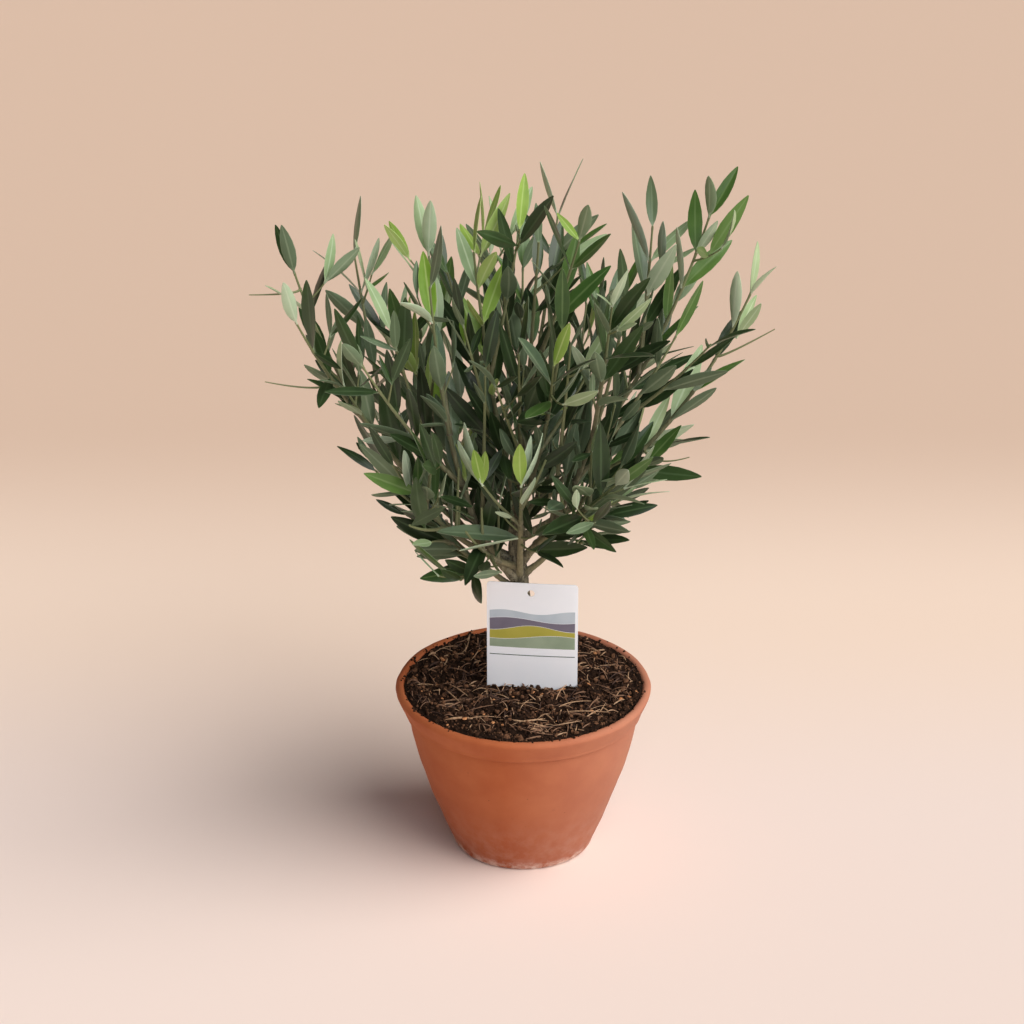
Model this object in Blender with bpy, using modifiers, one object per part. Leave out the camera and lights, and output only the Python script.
"""A small olive grown as a bonsai in a round terracotta bowl, at its real size in metres.

The origin is the centre of the bowl's flat underside. +Z is up and the plant label faces -Y.
"""

import math
import random
from dataclasses import dataclass

import bmesh
import bpy
import numpy as np
from mathutils import Matrix, Vector

MM = 0.001
UP = np.array((0.0, 0.0, 1.0))

# Gap kept between solids that rest against each other
SEAT_GAP = 0.3 * MM

# Terracotta bowl
RIM_RADIUS = 100 * MM
BOWL_HEIGHT = 139 * MM
BASE_RADIUS = 54.5 * MM
BASE_EDGE = 4.5 * MM
BODY_POINTS = 7
BODY_TOP_RADIUS = 90.5 * MM
BODY_SWELL = 1.4
BAND_HEIGHT = 19.5 * MM
BAND_FOOT_RADIUS = 93 * MM
BAND_CURL = 1.2 * MM
LIP_WIDTH = 7 * MM
LIP_ROLL = 1.5 * MM
WALL = 7 * MM
WALL_POINTS = 4
FLOOR_THICKNESS = 10 * MM
FLOOR_FILLET = 6 * MM
BOWL_SIDES = 40

# Soil
GROUND = 137 * MM
SOIL_EDGE_DROP = 1.8 * MM
SOIL_LEVEL_RADIUS = 22 * MM
SOIL_SHOULDER = 0.7

# Plant label, a thin card pushed into the soil
LABEL_WIDTH = 71 * MM
LABEL_ABOVE = 91 * MM
LABEL_BELOW = 25 * MM
LABEL_THICKNESS = 0.9 * MM
LABEL_CORNER = 3 * MM
LABEL_CENTRE = (6.8 * MM, -4.5 * MM)
LABEL_YAW = math.radians(-6.0)
CORNER_POINTS = 4
PUNCH_RADIUS = 2.8 * MM
PUNCH_ACROSS = -1.0 * MM
PUNCH_BELOW_TOP = 8.5 * MM
PUNCH_POINTS = 16

# Trunk and boughs
TRUNK_FOOT = np.array((2.0, 14.0, 0.0)) * MM + (GROUND + SEAT_GAP) * UP
FORK = np.array((-6.0, 8.0, 250.0)) * MM
TRUNK_LEAN = np.array((3.0, 0.0, 0.0)) * MM
TRUNK_POINTS = 9
TRUNK_FOOT_RADIUS = 8.8 * MM
TRUNK_TOP_RADIUS = 6.4 * MM
FLARE = 4.2 * MM
FLARE_HEIGHT = 7 * MM
FOOT_EDGE = 2 * MM
FOOT_STEP = 0.8 * MM
BOUGH_POINTS = 5
BOUGH_TAPER = 0.68
THINNEST_BOUGH = 1.9 * MM
SMOOTH_BELOW = math.radians(50.0)

# Shoots: their places along the lead as shares, their turns about it in degrees
CURVE_POINTS = 40
TWIG_STEP = 29 * MM
TWIG_FOOT_RADIUS = 2.4 * MM
TWIG_TIP_RADIUS = 1.5 * MM
SIDE_SHOOT_GIRTH = 0.85
FIRST_PLACE = 0.04
PLACE_SPAN = 0.42
PLACE_WOBBLE = 0.02
FIRST_SHOOT = 5 * MM
GOLDEN_ANGLE = 137.5
TURN_WOBBLE = 12
TURN_STEP = 14.5
TURNS_A_SIZE = 4
SHOOT_SIZES = (1.0, 0.85, 0.7)
SPREAD_RANGE = (0.85, 1.15)
SHOOT_RANGE = (0.88, 1.1)
SHORTER_UPWARD = 0.35
SHOOT_SPACING = 9 * MM
SHOOT_LIMB_CLEARANCE = 6.5 * MM
SISTER_SPACING = 13 * MM
SHOOT_DIP = 30 * MM
TIP_SPACE = 30 * MM

# Leaves: angles in degrees, places along a blade as shares of its length
LEAF_LENGTH = 60 * MM
LEAF_WIDTH = 13 * MM
LEAF_KEEL = 1.4 * MM
LEAF_KEEL_PLACE = 0.12
LEAF_ROOT_DEPTH = 1.0 * MM
SHOULDER_PLACE, SHOULDER_WIDTH = 0.30, 0.92
NECK_PLACE, NECK_WIDTH = 0.64, 0.9
MIDDLE_PLACE = 0.42
SHORT_LEAF = 49 * MM
NODE_SPACING = 28 * MM
FIRST_NODE = 9 * MM
LAST_NODE_INSET = 2 * MM
PAIR_TURN = 90
PAIR_WOBBLE = 18
LEAF_SIZES = (1.0, 0.97, 0.92, 0.86, 0.78, 0.68, 0.56)
LEAF_SIZE_RANGE = (0.84, 1.12)
SMALLER_UPWARD = 0.3
WIDTH_WOBBLE = 0.12
LEAF_RISE = (36, 60)
RISE_LOST_UPWARD = 14
LAST_PAIR_CLOSER = 18
LEAF_ROLL = 35
LEAF_DROOP = (-0.06, 0.14)
LEAF_SWING = 8
LEAF_TURN_STEP = 14
LEAN_STEP = 12
LEAST_LEAN = 16
LEAF_LIFT = 0.1
SAMPLE_STATIONS = ((0.14, 0.55), (0.3, 0.92), (0.46, 1.0), (0.62, 0.94), (0.8, 0.62), (1.0, 0.0))
NEAR_ROOT = 2
PAST_ROOT = [k for k in range(3 * len(SAMPLE_STATIONS)) if k % len(SAMPLE_STATIONS) >= NEAR_ROOT]
CELL_MARGIN = 0.9 * MM
LIMB_MARGIN = 1.6 * MM
LEAF_CLEARANCE = 3.4 * MM
TWIG_CLEARANCE = 3.4 * MM

# Goblet that the crown keeps within: its radius at its foot, and how much that grows with height
GOBLET_FOOT = 215 * MM
GOBLET_FOOT_RADIUS = 72 * MM
GOBLET_FLARE = 0.5

# Room that leaves keep free in front of the plant label
LABEL_ROOM_HALF = 44 * MM
LABEL_ROOM_BACK = 4 * MM
LABEL_ROOM_TOP = 234 * MM

# Colours, roughness
TERRACOTTA = ((0.56, 0.20, 0.10), 0.85)
SOIL = ((0.035, 0.022, 0.014), 0.95)
CARD = ((0.80, 0.83, 0.86), 0.35)
BARK = ((0.20, 0.17, 0.12), 0.85)
LEAF_SHADES = {
    "leaf_dark": ((0.055, 0.10, 0.045), 0.45),
    "leaf_mid": ((0.10, 0.16, 0.06), 0.5),
    "leaf_olive": ((0.16, 0.22, 0.12), 0.55),
}


@dataclass(frozen=True)
class Branch:
    """One bough and the mass of foliage that grows on from its tip.

    The azimuth turns from +X towards +Y and the rise is above the level, both in degrees, as
    seen from the fork. The reach is from the fork to the tip of the leading shoot.
    """

    name: str
    parent: str
    place: float
    azimuth: float
    rise: float
    reach: float
    bough_length: float
    radius: float
    side_shoots: int
    turn: float
    spread: float
    share: float
    seed: int
    outward: float = 0.62
    lift: float = 0.4
    leaf_size: float = 1.0
    spacing: float = NODE_SPACING
    lowest: float = 254 * MM


BRANCHES = (
    Branch("top", "trunk", 0.98, -20, 86, 0.254, 0.054, 0.0048, 3, 40, 22, 0.85, seed=1, outward=0.5),
    Branch("left", "trunk", 0.775, -146, 72, 0.244, 0.046, 0.0038, 3, 120, 26, 0.78, seed=2,
           outward=0.8),
    Branch("outer_left", "trunk", 0.9, 178, 54, 0.280, 0.046, 0.0038, 4, 120, 30, 0.70, seed=130,
           outward=0.7, spacing=0.032),
    Branch("right", "trunk", 0.9, -39, 66, 0.250, 0.046, 0.0036, 3, 60, 21, 0.75, seed=325, outward=0.7),
    Branch("far_right", "top", 0.22, -2, 51, 0.276, 0.056, 0.0032, 1, 40, 34, 0.50, seed=148,
           outward=0.68, spacing=0.029),
    Branch("upper_right", "top", 0.5, 4, 62, 0.304, 0.040, 0.0032, 3, 190, 26, 0.52, seed=6,
           outward=0.66),
    Branch("centre_left", "top", 0.63, -152, 82, 0.252, 0.038, 0.0028, 3, 200, 24, 0.75, seed=71),
    Branch("centre_front", "top", 0.6, -62, 71, 0.218, 0.040, 0.0028, 3, 30, 32, 0.70, seed=8),
    Branch("front", "trunk", 0.77, -87, 50, 0.116, 0.076, 0.0026, 2, 12, 44, 0.85, seed=49, outward=0.5),
    Branch("front_left", "left", 0.69, -141, 42, 0.156, 0.046, 0.0026, 4, 90, 36, 0.70, seed=1),
    Branch("front_right", "right", 0.62, -50, 40, 0.150, 0.046, 0.0026, 4, 30, 41, 0.70, seed=49,
           outward=0.52),
    Branch("mid_left", "outer_left", 0.56, -172, 37, 0.140, 0.048, 0.0026, 3, 40, 24, 0.75, seed=359,
           lift=0.2),
    Branch("low_left", "trunk", 0.66, -170, 24, 0.094, 0.030, 0.0028, 3, 260, 50, 0.88, seed=13,
           outward=0.48, lift=-0.25, leaf_size=1.05, lowest=0.202),
    Branch("low_right", "trunk", 0.8, -22, 50, 0.098, 0.032, 0.0028, 3, 340, 42, 0.65, seed=162,
           outward=0.68, lift=0.2, lowest=0.262),
    Branch("low_front", "trunk", 0.88, -120, 32, 0.088, 0.030, 0.0026, 3, 90, 48, 0.80, seed=15,
           leaf_size=0.95, lowest=0.258),
    Branch("back_left", "top", 0.28, 144, 50, 0.198, 0.044, 0.0032, 4, 10, 30, 0.80, seed=246),
    Branch("back_right", "top", 0.35, 50, 53, 0.216, 0.044, 0.0032, 3, 60, 25, 0.72, seed=107),
    Branch("back", "top", 0.85, 87, 62, 0.220, 0.038, 0.0028, 3, 320, 32, 0.80, seed=33),
    Branch("low_back", "trunk", 0.92, 96, 28, 0.132, 0.036, 0.0028, 4, 60, 42, 0.72, seed=19),
    Branch("low_back_left", "back_left", 0.71, 153, 23, 0.150, 0.046, 0.0026, 3, 320, 36, 0.75, seed=20),
    Branch("low_back_right", "back_right", 0.68, 29, 28, 0.146, 0.046, 0.0026, 3, 20, 41, 0.75, seed=21),
)


@dataclass
class Leaf:
    """A leaf by its root point, the way it points, the way its upper face looks and its size."""

    root: np.ndarray
    heading: np.ndarray
    face: np.ndarray
    length: float
    width: float
    droop: float

    def at(self, along, across=0.0):
        """A point of the blade, by its share of the length and of the half width."""
        side = np.cross(self.heading, self.face)
        middle = self.root + self.heading * self.length * along
        return middle + side * across * self.width / 2 - self.face * self.droop * self.length * along ** 2

    def samples(self):
        """Points of the midrib and of both edges, for the tests of clearance."""
        sides = (0, 1, -1)
        return np.array([self.at(along, side * width) for side in sides for along, width in SAMPLE_STATIONS])


# Paths


def unit(vector):
    return vector / max(np.linalg.norm(vector), 1e-9)


def arc(start, middle, end, count):
    """A quadratic Bezier curve."""
    t = np.linspace(0, 1, count)[:, None]
    return (1 - t) ** 2 * start + 2 * t * (1 - t) * middle + t ** 2 * end


def length_of(path):
    return float(np.linalg.norm(np.diff(path, axis=0), axis=1).sum())


def stretch(path, start, end, count):
    """Points spread evenly along a path between two distances from its start."""
    steps = np.linalg.norm(np.diff(path, axis=0), axis=1)
    travelled = np.concatenate(((0.0,), np.cumsum(steps)))
    wanted = np.linspace(start, min(end, travelled[-1]), count)
    return np.stack([np.interp(wanted, travelled, path[:, axis]) for axis in range(3)], axis=1)


def in_steps(path, start=0.0):
    """The path of a twig: points from a distance on, about one twig step apart."""
    count = max(3, round((length_of(path) - start) / TWIG_STEP) + 1)
    return stretch(path, start, math.inf, count)


def point_on(path, along):
    return stretch(path, along, along, 1)[0]


def across(axis):
    """Two directions square to an axis, the first of them level."""
    side = np.cross(axis, UP)
    if np.linalg.norm(side) < 0.05:
        side = np.array((1.0, 0.0, 0.0))
    side = unit(side)
    return side, np.cross(side, axis)


def spans(paths):
    """Starts and ends of all the straight spans of several paths."""
    return np.concatenate([p[:-1] for p in paths]), np.concatenate([p[1:] for p in paths])


def gaps(points, starts, ends):
    """Distance of every point from every span."""
    run = ends - starts
    away = points[:, None, :] - starts[None]
    share = np.clip((away * run).sum(-1) / (run * run).sum(-1), 0, 1)
    away = away - share[..., None] * run
    return np.sqrt((away * away).sum(-1))


# The rule of growth


def trunk_path():
    middle = (TRUNK_FOOT + FORK) / 2 + TRUNK_LEAN
    return arc(TRUNK_FOOT, middle, FORK, TRUNK_POINTS)


def grow_limbs():
    """The trunk, the boughs and the leading shoots: a bough and its lead are one curve, parted."""
    limbs = {"trunk": trunk_path()}
    radii = {"trunk": (TRUNK_FOOT_RADIUS, TRUNK_TOP_RADIUS)}
    leads = {}
    for branch in BRANCHES:
        parent = limbs[branch.parent]
        start = point_on(parent, branch.place * length_of(parent))
        azimuth, rise = math.radians(branch.azimuth), math.radians(branch.rise)
        level = np.array((math.cos(azimuth), math.sin(azimuth), 0.0)) * math.cos(rise)
        tip = FORK + branch.reach * (level + UP * math.sin(rise))
        run = tip - start
        middle = start + run * (1, 1, 0) * branch.outward + run * UP * (1 - branch.outward)
        whole = arc(start, middle, tip, CURVE_POINTS)
        limbs[branch.name] = stretch(whole, 0, branch.bough_length, BOUGH_POINTS)
        leads[branch.name] = in_steps(whole, branch.bough_length + SEAT_GAP)
        radii[branch.name] = (branch.radius, max(branch.radius * BOUGH_TAPER, THINNEST_BOUGH))
    return limbs, radii, leads


def shoot_tries(branch, lead, number, draw):
    """A side shoot as it would grow, then turned a little to either side of that and shorter."""
    reach = length_of(lead)
    place = FIRST_PLACE + PLACE_SPAN * number / max(branch.side_shoots - 1, 1)
    place = max(place + draw.uniform(-PLACE_WOBBLE, PLACE_WOBBLE), FIRST_SHOOT / reach)
    root = point_on(lead, place * reach)
    axis = unit(point_on(lead, place * reach + 4 * MM) - root)
    side, over = across(axis)
    turn = branch.turn + number * GOLDEN_ANGLE + draw.uniform(-TURN_WOBBLE, TURN_WOBBLE)
    spread = math.radians(branch.spread * draw.uniform(*SPREAD_RANGE))
    length = reach * branch.share * draw.uniform(*SHOOT_RANGE) * (1 - place * SHORTER_UPWARD)
    for attempt in range(TURNS_A_SIZE * len(SHOOT_SIZES)):
        angle = math.radians(turn + TURN_STEP * attempt * (1 if attempt % 2 else -1))
        size = length * SHOOT_SIZES[attempt // TURNS_A_SIZE]
        out = side * math.cos(angle) + over * math.sin(angle)
        heading = axis * math.cos(spread) + out * math.sin(spread)
        bend = unit(heading + UP * branch.lift)
        middle = root + heading * size / 2
        yield in_steps(arc(root, middle, middle + bend * size / 2, 12))


def grow_side_shoots(limbs, leads):
    """Every mass's shoots, its lead first. A side shoot that finds no clear way is left out."""
    shoots = {name: [lead] for name, lead in leads.items()}
    limb_spans = spans(limbs.values())
    for branch in BRANCHES:
        draw = random.Random(branch.seed)
        for number in range(branch.side_shoots):
            others = spans([p for name, group in shoots.items() if name != branch.name for p in group])
            sisters = spans(shoots[branch.name])
            for path in shoot_tries(branch, leads[branch.name], number, draw):
                fine = stretch(path, 0, math.inf, 24)
                clear = gaps(fine, *others).min() > SHOOT_SPACING
                clear = clear and gaps(fine[3:], *limb_spans).min() > SHOOT_LIMB_CLEARANCE
                clear = clear and gaps(fine[14:], *sisters).min() > SISTER_SPACING
                clear = clear and in_crown(fine[-1:])
                if clear and fine[:, 2].min() > branch.lowest - SHOOT_DIP:
                    shoots[branch.name].append(path)
                    break
    return shoots


def in_crown(points):
    """Whether points lie within the goblet and don't hide the label."""
    goblet = GOBLET_FOOT_RADIUS + GOBLET_FLARE * (points[:, 2] - GOBLET_FOOT)
    if (np.hypot(points[:, 0], points[:, 1]) > goblet).any():
        return False
    beside = np.abs(points[:, 0] - LABEL_CENTRE[0]) > LABEL_ROOM_HALF
    return (beside | (points[:, 1] > LABEL_ROOM_BACK) | (points[:, 2] > LABEL_ROOM_TOP)).all()


def with_tip_space(paths):
    """Shoots made longer by the space that their last leaves take."""
    return [np.concatenate((p, [p[-1] + unit(p[-1] - p[-2]) * TIP_SPACE])) for p in paths]


class Space:
    """The room that a mass's leaves have: all that lies nearer to its own shoots than to any
    other mass's, clear of the limbs, of its twigs and of the leaves that it has already."""

    def __init__(self, branch, shoots, limb_spans, limb_radii):
        others = [p for name, group in shoots.items() if name != branch.name for p in group]
        self.own = spans(with_tip_space(shoots[branch.name]))
        self.others = spans(with_tip_space(others))
        self.twigs = spans(shoots[branch.name])
        self.limbs = limb_spans
        self.limb_radii = limb_radii
        self.lowest = branch.lowest
        self.taken = np.zeros((0, 3))

    def is_clear(self, points):
        if not in_crown(points):
            return False
        if (gaps(points, *self.own).min(1) + CELL_MARGIN > gaps(points, *self.others).min(1)).any():
            return False
        if (gaps(points, *self.limbs) < self.limb_radii + LIMB_MARGIN).any():
            return False
        if points[:, 2].min() < self.lowest or gaps(points[PAST_ROOT], *self.twigs).min() < TWIG_CLEARANCE:
            return False
        apart = np.linalg.norm(points[NEAR_ROOT:, None] - self.taken[None], axis=-1)
        return apart.size == 0 or apart.min() >= LEAF_CLEARANCE

    def take(self, points):
        self.taken = np.concatenate((self.taken, points[NEAR_ROOT:]))


def leaf_tries(branch, root, axis, share, turn, is_last, draw):
    """A leaf as it would grow, then ever shorter and turned to either side of that."""
    side, over = across(axis)
    size = branch.leaf_size * (1 - SMALLER_UPWARD * share ** 2) * draw.uniform(*LEAF_SIZE_RANGE)
    rise = draw.uniform(*LEAF_RISE) - RISE_LOST_UPWARD * share - (LAST_PAIR_CLOSER if is_last else 0)
    roll = math.radians(draw.uniform(-LEAF_ROLL, LEAF_ROLL))
    droop = draw.uniform(*LEAF_DROOP)
    swing, tip_up, fatter = (draw.uniform(-1, 1) for _ in range(3))
    width = LEAF_WIDTH * (0.5 + 0.5 * size) * (1 + WIDTH_WOBBLE * fatter)
    for attempt, shorter in enumerate(LEAF_SIZES):
        step = LEAF_TURN_STEP * attempt * (1 if attempt % 2 else -1)
        angle = math.radians(turn + step + LEAF_SWING * swing)
        lean = math.radians(max(LEAST_LEAN, rise + LEAN_STEP * tip_up * attempt))
        out = side * math.cos(angle) + over * math.sin(angle)
        heading = unit(axis * math.cos(lean) + out * math.sin(lean) + LEAF_LIFT * UP)
        face = unit(axis - heading * axis.dot(heading))
        face = face * math.cos(roll) + np.cross(heading, face) * math.sin(roll)
        yield Leaf(root, heading, face, LEAF_LENGTH * size * shorter, width, droop)


def grow_leaves(branch, shoots, limb_spans, limb_radii):
    """Opposite leaves along a mass's shoots, each pair a quarter turn on from the last.

    A leaf that has no room is turned and shortened, and left out if nothing fits.
    """
    space = Space(branch, shoots, limb_spans, limb_radii)
    draw = random.Random(100 + branch.seed)
    leaves = []
    for path in shoots[branch.name]:
        total = length_of(path) - LAST_NODE_INSET
        pairs = max(1, round((total - FIRST_NODE) / branch.spacing))
        turn = draw.uniform(0, 180)
        for pair in range(pairs + 1):
            along = FIRST_NODE + (total - FIRST_NODE) * pair / pairs
            root = point_on(path, along)
            axis = unit(root - point_on(path, along - 3 * MM))
            turn += PAIR_TURN + draw.uniform(-PAIR_WOBBLE, PAIR_WOBBLE)
            for half_turn in (0, 180):
                tries = leaf_tries(branch, root, axis, along / total, turn + half_turn, pair == pairs, draw)
                for leaf in tries:
                    points = leaf.samples()
                    if space.is_clear(points):
                        leaves.append(leaf)
                        space.take(points)
                        break
    return leaves


# Objects


def clear_scene():
    for thing in list(bpy.data.objects):
        bpy.data.objects.remove(thing, do_unlink=True)


def new_collection(name):
    collection = bpy.data.collections.new(name)
    bpy.context.scene.collection.children.link(collection)
    return collection


def make_material(name, finish):
    colour, roughness = finish
    material = bpy.data.materials.new(name)
    material.use_nodes = True
    shader = material.node_tree.nodes["Principled BSDF"]
    shader.inputs["Base Color"].default_value = (*colour, 1.0)
    shader.inputs["Roughness"].default_value = roughness
    shader.inputs["Metallic"].default_value = 0.0
    return material


def add_object(name, data, collection, material=None):
    thing = bpy.data.objects.new(name, data)
    collection.objects.link(thing)
    if material:
        data.materials.append(material)
    return thing


def mesh_from(name, vertices, faces):
    mesh = bpy.data.meshes.new(name)
    mesh.from_pydata([tuple(v) for v in vertices], [], faces)
    mesh.update()
    return mesh


def hide_cutter(cutter):
    cutter.hide_render = True
    cutter.display_type = "WIRE"


def cut(thing, cutter):
    modifier = thing.modifiers.new("cut", "BOOLEAN")
    modifier.operation = "DIFFERENCE"
    modifier.object = cutter
    hide_cutter(cutter)


def settled_mesh(thing, name):
    """A plain mesh of an object as its modifiers or its curve leave it, with its caps welded."""
    bpy.context.view_layer.update()
    evaluated = thing.evaluated_get(bpy.context.evaluated_depsgraph_get())
    mesh = bpy.data.meshes.new_from_object(evaluated)
    mesh.name = name
    shape = bmesh.new()
    shape.from_mesh(mesh)
    bmesh.ops.remove_doubles(shape, verts=shape.verts, dist=0.001 * MM)
    shape.to_mesh(mesh)
    shape.free()
    return mesh


# Bowl, soil and label


def swell_radius(height):
    """Radius of the bowl's body at a height: fast growth low down, slower towards the band."""
    share = height / (BOWL_HEIGHT - BAND_HEIGHT)
    return BASE_RADIUS + (BODY_TOP_RADIUS - BASE_RADIUS) * (1 - (1 - share) ** BODY_SWELL)


def rounded(centre, radius, first, last, count):
    """Points of an arc in a plane, by angles in degrees from its first axis."""
    angles = np.radians(np.linspace(first, last, count))
    return [(centre[0] + radius * math.cos(a), centre[1] + radius * math.sin(a)) for a in angles]


def bowl_outside():
    """The outer profile from the lip down to the foot."""
    band_foot = BOWL_HEIGHT - BAND_HEIGHT
    lip = LIP_WIDTH / 2
    points = rounded((RIM_RADIUS - lip, BOWL_HEIGHT - lip), lip, 90, 0, 4)
    points.append((BAND_FOOT_RADIUS + BAND_CURL, band_foot + 2 * BAND_CURL))
    points.append((BAND_FOOT_RADIUS, band_foot + BAND_CURL / 2))
    heights = np.linspace(band_foot - BAND_CURL / 2, BASE_EDGE, BODY_POINTS)
    points += [(swell_radius(height), height) for height in heights]
    foot = swell_radius(BASE_EDGE) - BASE_EDGE
    points += rounded((foot, BASE_EDGE), BASE_EDGE, -30, -90, 3)
    return points


def inner_wall():
    """The inner profile from the rim of the floor up to half way up the band."""
    heights = np.linspace(FLOOR_THICKNESS + FLOOR_FILLET, BOWL_HEIGHT - BAND_HEIGHT, WALL_POINTS)
    points = [(swell_radius(FLOOR_THICKNESS) - WALL - FLOOR_FILLET, FLOOR_THICKNESS)]
    points += [(swell_radius(height) - WALL, height) for height in heights]
    points.append((RIM_RADIUS - LIP_WIDTH - LIP_ROLL, BOWL_HEIGHT - BAND_HEIGHT / 2))
    return points


def turn_profile(name, profile, collection, material):
    """A solid of revolution from a profile that runs down its outer side."""
    vertices = [(radius, 0.0, height) for radius, height in profile]
    edges = [(k, k + 1) for k in range(len(vertices) - 1)]
    mesh = bpy.data.meshes.new(name)
    mesh.from_pydata(vertices, edges, [])
    thing = add_object(name, mesh, collection, material)
    screw = thing.modifiers.new("turn", "SCREW")
    screw.steps = BOWL_SIDES
    screw.render_steps = BOWL_SIDES
    screw.use_merge_vertices = True
    screw.merge_threshold = 0.01 * MM
    screw.use_smooth_shade = True
    return thing


def build_bowl(collection):
    lip = LIP_WIDTH / 2
    inner_lip = rounded((RIM_RADIUS - lip, BOWL_HEIGHT - lip), lip, 180, 135, 2)
    profile = [(0.0, FLOOR_THICKNESS)] + inner_wall() + inner_lip + bowl_outside() + [(0.0, 0.0)]
    return turn_profile("bowl", profile, collection, make_material("terracotta", TERRACOTTA))


def build_soil(collection, cutters):
    wall = inner_wall()
    lip = LIP_WIDTH / 2
    edge = RIM_RADIUS - LIP_WIDTH - 2 * SEAT_GAP
    shoulder = (SOIL_SHOULDER * edge, GROUND - SOIL_EDGE_DROP / 3)
    profile = [(0.0, GROUND), (SOIL_LEVEL_RADIUS, GROUND), shoulder, (edge, GROUND - SOIL_EDGE_DROP)]
    profile.append((edge, BOWL_HEIGHT - lip - 2 * SEAT_GAP))
    profile += [(radius - SEAT_GAP, height) for radius, height in reversed(wall[1:])]
    foot_radius, foot_height = wall[0]
    profile += [(foot_radius - SEAT_GAP, foot_height + SEAT_GAP), (0.0, foot_height + SEAT_GAP)]
    soil = turn_profile("soil", profile, collection, make_material("potting_soil", SOIL))
    slot = add_object("label_slot", label_blank("label_slot", SEAT_GAP), cutters)
    cut(soil, slot)
    return soil


def label_blank(name, swell=0.0):
    """The card as a flat outline given its thickness, standing in its slot."""
    height = LABEL_ABOVE + LABEL_BELOW
    half = LABEL_WIDTH / 2 - LABEL_CORNER
    low, high = -height / 2 + LABEL_CORNER, height / 2 - LABEL_CORNER
    outline = bpy.data.curves.new(name, "CURVE")
    outline.dimensions = "2D"
    outline.fill_mode = "BOTH"
    outline.extrude = LABEL_THICKNESS / 2 + swell
    corners = ((half, low, -90), (half, high, 0), (-half, high, 90), (-half, low, 180))
    corner = LABEL_CORNER + swell
    rounds = [rounded((x, y), corner, first, first + 90, CORNER_POINTS) for x, y, first in corners]
    add_loop(outline, [point for points in rounds for point in points])
    if not swell:
        centre = (PUNCH_ACROSS, height / 2 - PUNCH_BELOW_TOP)
        last = 360 - 360 / PUNCH_POINTS
        add_loop(outline, rounded(centre, PUNCH_RADIUS, 0, last, PUNCH_POINTS))
    flat = bpy.data.objects.new(name, outline)
    bpy.context.scene.collection.objects.link(flat)
    mesh = settled_mesh(flat, name)
    bpy.data.objects.remove(flat)
    centre = Vector((*LABEL_CENTRE, GROUND + (LABEL_ABOVE - LABEL_BELOW) / 2))
    upright = Matrix.Rotation(math.radians(90.0), 4, "X")
    mesh.transform(Matrix.Translation(centre) @ Matrix.Rotation(LABEL_YAW, 4, "Z") @ upright)
    return mesh


def add_loop(outline, points):
    spline = outline.splines.new("POLY")
    spline.points.add(len(points) - 1)
    for target, (x, y) in zip(spline.points, points):
        target.co = (x, y, 0.0, 1.0)
    spline.use_cyclic_u = True


def build_label(collection):
    return add_object("plant_label", label_blank("plant_label"), collection, make_material("card", CARD))


# Limbs


def limb_mesh(name, path, radii, sides_resolution=3):
    """A round tapering limb along a path, as a mesh with closed ends."""
    curve = bpy.data.curves.new(name, "CURVE")
    curve.dimensions = "3D"
    curve.bevel_depth = 1.0
    curve.bevel_resolution = sides_resolution
    curve.use_fill_caps = True
    spline = curve.splines.new("POLY")
    spline.points.add(len(path) - 1)
    for target, point, radius in zip(spline.points, path, radii):
        target.co = (*point, 1.0)
        target.radius = radius
    thing = bpy.data.objects.new(name, curve)
    bpy.context.scene.collection.objects.link(thing)
    mesh = settled_mesh(thing, name)
    bpy.data.objects.remove(thing)
    mesh.shade_smooth()
    mesh.set_sharp_from_angle(angle=SMOOTH_BELOW)
    return mesh


def trunk_shape(limbs):
    """The trunk's path with a square-cut foot, and its radii with the root flare."""
    path = limbs["trunk"]
    heights = path[:, 2] - path[0, 2]
    share = heights / heights[-1]
    radii = TRUNK_FOOT_RADIUS + (TRUNK_TOP_RADIUS - TRUNK_FOOT_RADIUS) * share
    radii = radii + FLARE * np.exp(-heights / FLARE_HEIGHT)
    edge = path[0] + UP * FOOT_EDGE
    path = np.concatenate((path[:1], [edge], path[1:]))
    radii = np.concatenate((radii[:1], radii[:1] - FOOT_STEP, radii[1:]))
    return path, radii


def build_limbs(limbs, radii, collection, cutters):
    """The trunk and the boughs, each bough cut clear of the limb that carries it."""
    bark = make_material("bark", BARK)
    shapes = {"trunk": trunk_shape(limbs)}
    trunk = limb_mesh("trunk", *shapes["trunk"])
    add_object("trunk", trunk, collection, bark)
    for branch in BRANCHES:
        path = limbs[branch.name]
        shapes[branch.name] = (path, np.linspace(*radii[branch.name], len(path)))
        shape = limb_mesh("bough_" + branch.name, *shapes[branch.name], sides_resolution=2)
        bough = add_object("bough_" + branch.name, shape, collection, bark)
        name = "clear_of_" + branch.parent + "_for_" + branch.name
        carrier_path, carrier_radii = shapes[branch.parent]
        end = carrier_path[-1] + SEAT_GAP * unit(carrier_path[-1] - carrier_path[-2])
        carrier_path = np.concatenate((carrier_path[:-1], [end]))
        carrier = limb_mesh(name, carrier_path, carrier_radii + SEAT_GAP)
        cut(bough, add_object(name, carrier, cutters))


# Foliage


def twig_mesh(name, path, first_radius):
    """A three-sided tapering twig along a path."""
    count = len(path)
    radii = np.linspace(first_radius, TWIG_TIP_RADIUS, count)
    vertices = []
    for k, centre in enumerate(path):
        axis = unit(path[min(k + 1, count - 1)] - path[max(k - 1, 0)])
        side, over = across(axis)
        for corner in range(3):
            angle = math.radians(120 * corner)
            vertices.append(centre + radii[k] * (side * math.cos(angle) + over * math.sin(angle)))
    faces = [(0, 1, 2), tuple(3 * (count - 1) + k for k in (2, 1, 0))]
    for k in range(count - 1):
        for corner in range(3):
            a, b = 3 * k + corner, 3 * k + (corner + 1) % 3
            faces.append((a, a + 3, b + 3, b))
    return mesh_from(name, vertices, faces)


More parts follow.
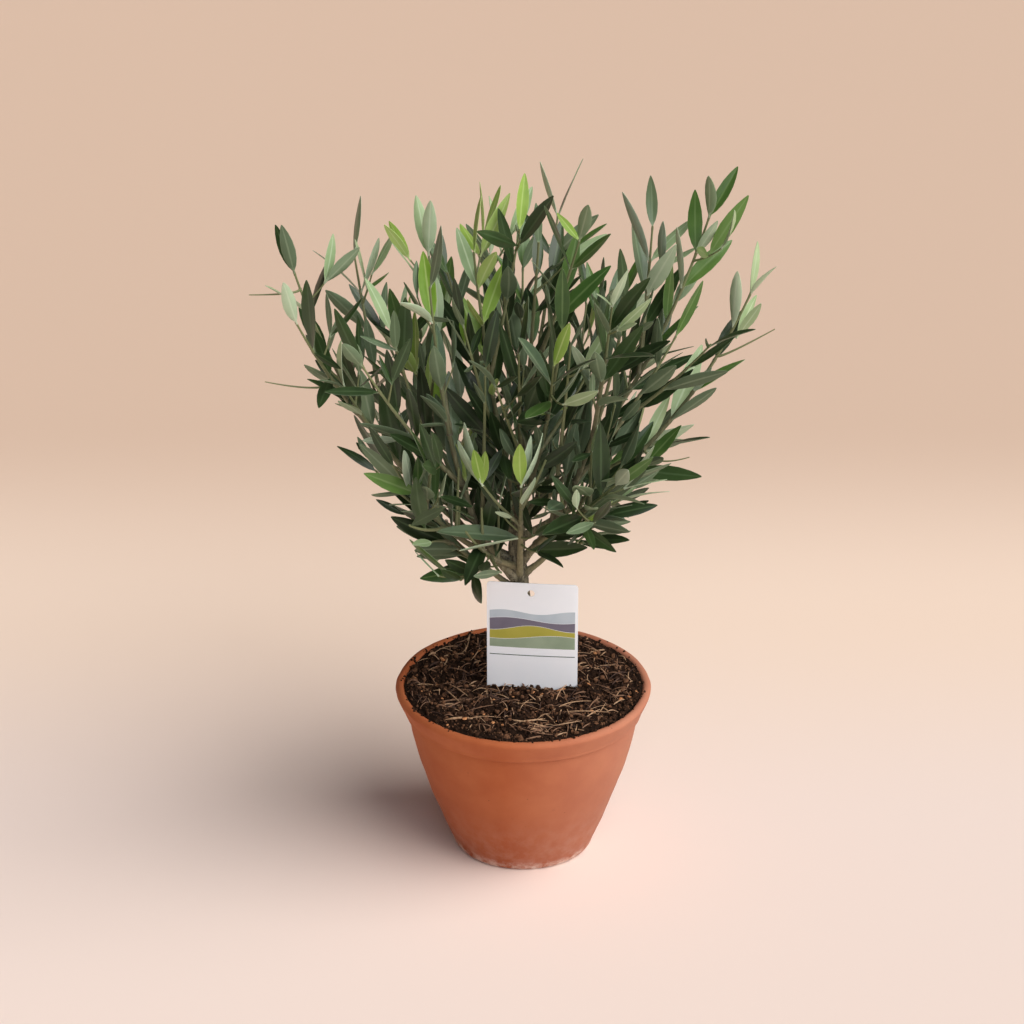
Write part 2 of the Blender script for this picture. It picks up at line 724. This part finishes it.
def leaf_mesh(name, leaf):
    """A keeled blade whose root, where three faces meet, lies in the twig.

    A long leaf has two stations of width and ten faces, and a short one has one and six.
    """
    keel = leaf.at(LEAF_KEEL_PLACE) - leaf.face * LEAF_KEEL
    vertices = [leaf.at(-LEAF_ROOT_DEPTH / leaf.length), keel, leaf.at(1.0)]
    if leaf.length < SHORT_LEAF:
        vertices += [leaf.at(MIDDLE_PLACE, 1.0), leaf.at(MIDDLE_PLACE, -1.0)]
        faces = [(0, 3, 1), (0, 1, 4), (0, 4, 3), (1, 3, 2), (1, 2, 4), (3, 4, 2)]
    else:
        vertices += [leaf.at(SHOULDER_PLACE, SHOULDER_WIDTH), leaf.at(SHOULDER_PLACE, -SHOULDER_WIDTH)]
        vertices += [leaf.at(NECK_PLACE, NECK_WIDTH), leaf.at(NECK_PLACE, -NECK_WIDTH)]
        faces = [(0, 3, 1), (0, 1, 4), (0, 4, 3), (3, 4, 6), (3, 6, 5)]
        faces += [(1, 3, 5), (1, 6, 4), (1, 5, 2), (1, 2, 6), (5, 6, 2)]
    return mesh_from(name, vertices, faces)


def facing_out(mesh):
    """The mesh with all its faces turned outwards."""
    shape = bmesh.new()
    shape.from_mesh(mesh)
    bmesh.ops.recalc_face_normals(shape, faces=shape.faces)
    shape.to_mesh(mesh)
    shape.free()
    return mesh


def is_closed(mesh):
    """Whether every edge lies between two faces."""
    shape = bmesh.new()
    shape.from_mesh(mesh)
    closed = all(edge.is_manifold for edge in shape.edges)
    shape.free()
    return closed


def drop_scraps(mesh):
    """Keep the fused mass only, without loose scraps, sealed hollows and stray edges."""
    shape = bmesh.new()
    shape.from_mesh(mesh)
    unseen = set(shape.faces)
    bodies = []
    while unseen:
        stack = [unseen.pop()]
        body = list(stack)
        while stack:
            for edge in stack.pop().edges:
                for face in edge.link_faces:
                    if face in unseen:
                        unseen.remove(face)
                        body.append(face)
                        stack.append(face)
        bodies.append(body)
    keep = max(bodies, key=len)
    loose = [face for body in bodies if body is not keep for face in body]
    bmesh.ops.delete(shape, geom=loose, context="FACES")
    stray = [edge for edge in shape.edges if not edge.link_faces]
    bmesh.ops.delete(shape, geom=stray, context="EDGES")
    shape.to_mesh(mesh)
    shape.free()


def build_foliage(branch, shoots, leaves, stem_radius, collection, material):
    """One mass: its shoots and leaves joined by one union."""
    name = "foliage_" + branch.name
    pieces = new_collection("pieces_of_" + name)
    lead, *side_shoots = shoots[branch.name]
    stem = add_object(name, facing_out(twig_mesh(name, lead, stem_radius)), collection, material)
    meshes = [twig_mesh(name + "_twig", path, SIDE_SHOOT_GIRTH * stem_radius) for path in side_shoots]
    meshes += [leaf_mesh(name + "_leaf", leaf) for leaf in leaves]
    for mesh in meshes:
        add_object(mesh.name, facing_out(mesh), pieces)
    union = stem.modifiers.new("fuse", "BOOLEAN")
    union.operation = "UNION"
    union.operand_type = "COLLECTION"
    union.collection = pieces
    union.solver = "EXACT"
    fused = settled_mesh(stem, name)
    if not is_closed(fused):
        union.solver = "MANIFOLD"
        fused = settled_mesh(stem, name)
    stem.modifiers.clear()
    stem.data = fused
    for piece in list(pieces.objects):
        bpy.data.objects.remove(piece)
    bpy.data.collections.remove(pieces)
    drop_scraps(fused)


def main():
    clear_scene()
    parts = new_collection("olive_bonsai")
    cutters = new_collection("cutters")
    build_bowl(parts)
    build_soil(parts, cutters)
    build_label(parts)
    limbs, radii, leads = grow_limbs()
    shoots = grow_side_shoots(limbs, leads)
    build_limbs(limbs, radii, parts, cutters)
    limb_spans = spans(limbs.values())
    limb_radii = np.concatenate([np.linspace(*radii[name], len(path))[:-1] for name, path in limbs.items()])
    shades = [make_material(name, finish) for name, finish in LEAF_SHADES.items()]
    for number, branch in enumerate(BRANCHES):
        leaves = grow_leaves(branch, shoots, limb_spans, limb_radii)
        stem_radius = min(radii[branch.name][1], TWIG_FOOT_RADIUS)
        build_foliage(branch, shoots, leaves, stem_radius, parts, shades[number % len(shades)])


main()
